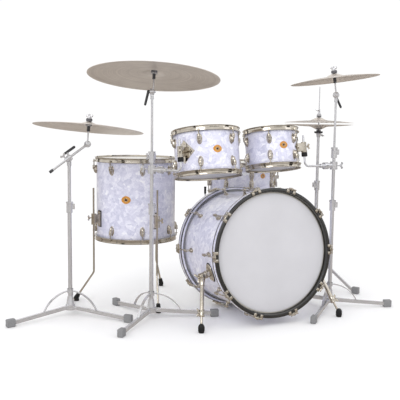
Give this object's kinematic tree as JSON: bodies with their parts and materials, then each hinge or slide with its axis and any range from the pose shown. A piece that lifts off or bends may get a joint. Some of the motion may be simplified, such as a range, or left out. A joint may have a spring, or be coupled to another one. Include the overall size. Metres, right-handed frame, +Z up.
{
  "type": "acoustic drum kit",
  "caption": "Acoustic drum kit: bass drum, floor tom, hanging toms and snare in white pearl, hi-hats and cymbals on low flat-based stands, with pedals.",
  "frame": {"origin": "on the floor below the middle of the whole kit", "axes": "+X to the right and -Y towards the audience, as the audience sees the kit, +Z up"},
  "size_m": [1.9218, 0.9936, 1.2135],
  "materials": {
    "pearl_shell": "white pearl wrap over a thin wooden ply shell, glossy",
    "drum_film": "stretched plastic film, satin",
    "lacquered_hoop": "black lacquer with a white pearl inlay",
    "chrome_steel": "polished chrome plating with rubber feet and grips",
    "cymbal_bronze": "hammered and lathed bronze, satin",
    "cast_alloy": "cast alloy, satin"
  },
  "bodies": {
    "kit": {"bass_shell": "pearl_shell", "bass_heads": "drum_film", "bass_hoops": "lacquered_hoop", "bass_lugs": "chrome_steel", "bass_claws": "chrome_steel", "spur_brackets": "chrome_steel", "pedal_frame": "cast_alloy", "floor_tom_shell": "pearl_shell", "floor_tom_heads": "drum_film", "floor_tom_hoops": "chrome_steel", "floor_tom_lugs": "chrome_steel", "floor_tom_leg_brackets": "chrome_steel", "snare_stand_base": "chrome_steel", "ride_stand_base": "chrome_steel", "crash_stand_base": "chrome_steel", "boom_stand_base": "chrome_steel", "hihat_base": "chrome_steel"},
    "spur_left": {"spur_left": "chrome_steel"},
    "spur_right": {"spur_right": "chrome_steel"},
    "pedal_footboard": {"pedal_footboard": "cast_alloy"},
    "pedal_beater": {"pedal_beater": "chrome_steel"},
    "leg_left": {"floor_tom_leg_left": "chrome_steel"},
    "leg_front": {"floor_tom_leg_front": "chrome_steel"},
    "leg_back": {"floor_tom_leg_back": "chrome_steel"},
    "mid_tom_clamp": {"mid_tom_clamp": "chrome_steel"},
    "mid_tom_arm": {"mid_tom_arm": "chrome_steel"},
    "mid_tom": {"mid_tom_shell": "pearl_shell", "mid_tom_heads": "drum_film", "mid_tom_hoops": "chrome_steel", "mid_tom_lugs": "chrome_steel", "mid_tom_bracket": "chrome_steel"},
    "high_tom_clamp": {"high_tom_clamp": "chrome_steel"},
    "high_tom_arm": {"high_tom_arm": "chrome_steel"},
    "high_tom": {"high_tom_shell": "pearl_shell", "high_tom_heads": "drum_film", "high_tom_hoops": "chrome_steel", "high_tom_lugs": "chrome_steel", "high_tom_bracket": "chrome_steel"},
    "snare": {"snare_basket": "chrome_steel", "snare_shell": "pearl_shell", "snare_heads": "drum_film", "snare_hoops": "chrome_steel", "snare_lugs": "chrome_steel", "snare_strainer": "chrome_steel"},
    "snare_lever": {"snare_lever": "chrome_steel"},
    "ride_tube": {"ride_stand_tube": "chrome_steel"},
    "ride_tilter": {"ride_tilter": "chrome_steel"},
    "ride_cymbal": {"ride_cymbal": "cymbal_bronze"},
    "crash_tube": {"crash_stand_tube": "chrome_steel"},
    "crash_tilter": {"crash_tilter": "chrome_steel"},
    "crash_cymbal": {"crash_cymbal": "cymbal_bronze"},
    "boom_tube": {"boom_stand_tube": "chrome_steel"},
    "boom_arm": {"boom_arm": "chrome_steel"},
    "boom_tilter": {"boom_tilter": "chrome_steel"},
    "boom_cymbal": {"boom_cymbal": "cymbal_bronze"},
    "hihat_tube": {"hihat_tube": "chrome_steel", "hihat_cymbal_bottom": "cymbal_bronze"},
    "hihat_pedal": {"hihat_pedal": "cast_alloy"},
    "hihat_rod": {"hihat_rod": "chrome_steel", "hihat_cymbal_top": "cymbal_bronze"}
  },
  "joints": [
    {"name": "spur_left_fold", "type": "hinge", "parent": "kit", "child": "spur_left", "pos_m": [-0.11524, -0.2994, 0.22499], "axis": [-0.9511, -0.0248, -0.308], "range_deg": [0, 95]},
    {"name": "spur_right_fold", "type": "hinge", "parent": "kit", "child": "spur_right", "pos_m": [0.4961, -0.2994, 0.22499], "axis": [-0.9511, 0.0248, 0.308], "range_deg": [0, 95]},
    {"name": "bass_pedal_press", "type": "hinge", "parent": "kit", "child": "pedal_footboard", "pos_m": [0.19043, 0.29671, 0.02396], "axis": [1, 0, 0], "range_deg": [0, 10.5]},
    {"name": "beater_swing", "type": "hinge", "parent": "kit", "child": "pedal_beater", "pos_m": [0.19043, 0.02428, 0.13], "axis": [1, 0, 0], "range_deg": [0, 42], "stiffness_Nm_per_rad": 0.8, "springref_deg": -17.19},
    {"name": "floor_tom_leg_left_height", "type": "slide", "parent": "kit", "child": "leg_left", "axis": [0, 0, 1], "range_m": [0, 0.09]},
    {"name": "floor_tom_leg_front_height", "type": "slide", "parent": "kit", "child": "leg_front", "axis": [0, 0, 1], "range_m": [0, 0.09]},
    {"name": "floor_tom_leg_back_height", "type": "slide", "parent": "kit", "child": "leg_back", "axis": [0, 0, 1], "range_m": [0, 0.09]},
    {"name": "mid_tom_swivel", "type": "hinge", "parent": "kit", "child": "mid_tom_clamp", "pos_m": [-0.30557, -0.13372, 0.708], "axis": [0, 0, 1], "range_deg": [-8, 8]},
    {"name": "mid_tom_tilt", "type": "hinge", "parent": "mid_tom_clamp", "child": "mid_tom_arm", "pos_m": [-0.27643, -0.17435, 0.708], "axis": [0.5827, -0.8127, 0], "range_deg": [-10, 10]},
    {"name": "mid_tom_height", "type": "slide", "parent": "mid_tom_arm", "child": "mid_tom", "axis": [0, 0.1857, 0.9826], "range_m": [-0.02, 0.03]},
    {"name": "high_tom_swivel", "type": "hinge", "parent": "kit", "child": "high_tom_clamp", "pos_m": [0.60243, -0.26872, 0.722], "axis": [0, 0, 1], "range_deg": [-8, 8]},
    {"name": "high_tom_tilt", "type": "hinge", "parent": "high_tom_clamp", "child": "high_tom_arm", "pos_m": [0.55256, -0.2723, 0.722], "axis": [-0.9974, -0.0717, 0], "range_deg": [-10, 10]},
    {"name": "high_tom_height", "type": "slide", "parent": "high_tom_arm", "child": "high_tom", "axis": [0, 0.1857, 0.9826], "range_m": [-0.02, 0.03]},
    {"name": "snare_height", "type": "slide", "parent": "kit", "child": "snare", "axis": [0, 0, 1], "range_m": [-0.02, 0.04]},
    {"name": "strainer_throw", "type": "hinge", "parent": "snare", "child": "snare_lever", "pos_m": [0.54525, 0.186, 0.632], "axis": [0.5373, 0.8434, 0], "range_deg": [0, 75]},
    {"name": "ride_height", "type": "slide", "parent": "kit", "child": "ride_tube", "axis": [0, 0, 1], "range_m": [-0.05, 0.1]},
    {"name": "ride_tilt", "type": "hinge", "parent": "ride_tube", "child": "ride_tilter", "pos_m": [-0.30557, -0.13372, 1.064], "axis": [0.9219, -0.3875, 0], "range_deg": [-12, 12]},
    {"name": "ride_spin", "type": "hinge", "parent": "ride_tilter", "child": "ride_cymbal", "pos_m": [-0.29466, -0.12712, 1.12914], "axis": [0.0955, 0.1294, 0.987], "continuous": true},
    {"name": "crash_height", "type": "slide", "parent": "kit", "child": "crash_tube", "axis": [0, 0, 1], "range_m": [-0.05, 0.1]},
    {"name": "crash_tilt", "type": "hinge", "parent": "crash_tube", "child": "crash_tilter", "pos_m": [0.60243, -0.26872, 1.069], "axis": [-0.3875, -0.9219, 0], "range_deg": [-12, 12]},
    {"name": "crash_spin", "type": "hinge", "parent": "crash_tilter", "child": "crash_cymbal", "pos_m": [0.59313, -0.26821, 1.14044], "axis": [-0.1022, 0.0712, 0.9922], "continuous": true},
    {"name": "boom_height", "type": "slide", "parent": "kit", "child": "boom_tube", "axis": [0, 0, 1], "range_m": [0, 0.12]},
    {"name": "boom_tilt", "type": "hinge", "parent": "boom_tube", "child": "boom_arm", "pos_m": [-0.64857, 0.05328, 0.753], "axis": [-0.3875, -0.9219, 0], "range_deg": [-12, 12]},
    {"name": "boom_cymbal_tilt", "type": "hinge", "parent": "boom_arm", "child": "boom_tilter", "pos_m": [-0.57425, -0.00074, 0.8204], "axis": [-0.3875, -0.9219, 0], "range_deg": [-12, 12]},
    {"name": "boom_spin", "type": "hinge", "parent": "boom_tilter", "child": "boom_cymbal", "pos_m": [-0.56944, -0.00221, 0.89189], "axis": [0.1017, 0.0628, 0.9928], "continuous": true},
    {"name": "hihat_height", "type": "slide", "parent": "kit", "child": "hihat_tube", "axis": [0, 0, 1], "range_m": [0, 0.05]},
    {"name": "hihat_pedal_press", "type": "hinge", "parent": "kit", "child": "hihat_pedal", "pos_m": [0.60578, 0.38039, 0.01822], "axis": [0.829, 0.5592, 0], "range_deg": [0, 4]},
    {"name": "hihat_close", "type": "slide", "parent": "hihat_tube", "child": "hihat_rod", "axis": [0, 0, 1], "range_m": [-0.0075, 0], "stiffness_N_per_m": 1500, "springref_m": 0.02}
  ],
  "couplings": [
    {"joint": "beater_swing", "follows": "bass_pedal_press", "ratio": 4},
    {"joint": "hihat_close", "follows": "hihat_pedal_press", "m_per_rad": -0.10743}
  ]
}
